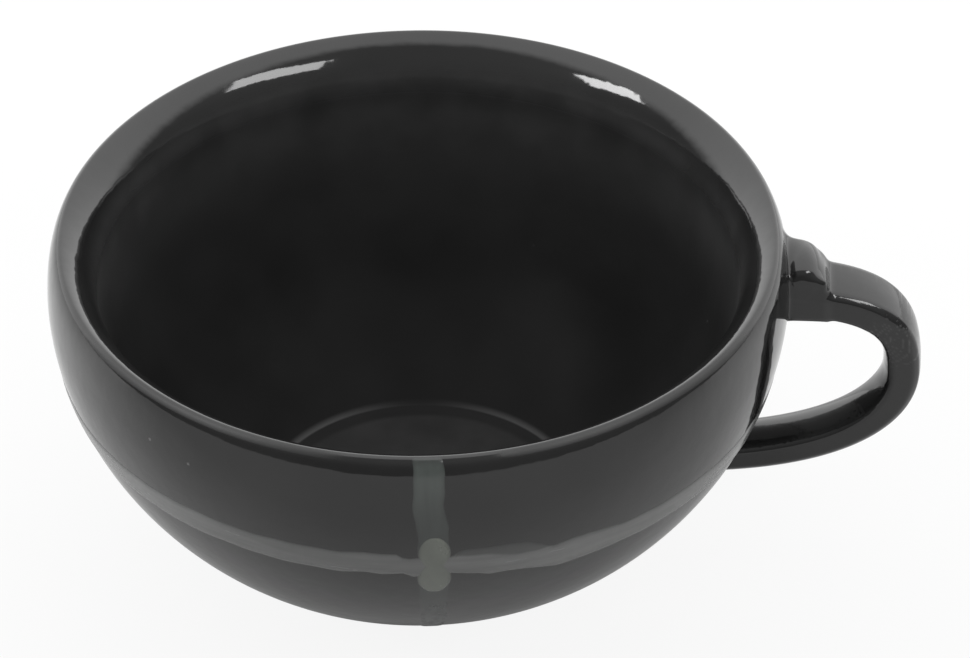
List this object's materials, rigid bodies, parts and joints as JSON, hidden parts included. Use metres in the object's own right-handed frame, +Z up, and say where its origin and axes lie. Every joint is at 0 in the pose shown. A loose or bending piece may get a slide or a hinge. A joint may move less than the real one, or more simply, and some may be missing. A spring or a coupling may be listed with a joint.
{
  "type": "espresso cup",
  "caption": "Low round-bellied glazed stoneware espresso cup with a bent strap handle, a thumb bead and brushed stripes that cross at the front.",
  "frame": {"origin": "middle of the flat base, on the bowl's axis", "axes": "+Z up along the bowl's axis, +X towards the handle, and the striped front faces -Y"},
  "size_m": [0.092, 0.0783, 0.0377],
  "materials": {
    "clay": "matt unglazed stoneware",
    "black_glaze": "glossy black glaze with fine pinholes",
    "band_glaze": "brushed grey glaze, satin gloss",
    "stripe_glaze": "brushed dark grey-green glaze, satin gloss",
    "dab_glaze": "second coat of brushed grey glaze, satin gloss"
  },
  "bodies": {
    "root": {"bowl_body": "clay", "outer_glaze": "black_glaze", "liner_glaze": "black_glaze", "upper_handle_joint": "black_glaze", "handle_strap": "black_glaze", "lower_handle_joint": "black_glaze", "thumb_bead": "black_glaze", "belly_band": "band_glaze", "front_stripe_upper": "stripe_glaze", "front_stripe_lower": "stripe_glaze", "crossing_dab": "dab_glaze"}
  },
  "joints": []
}
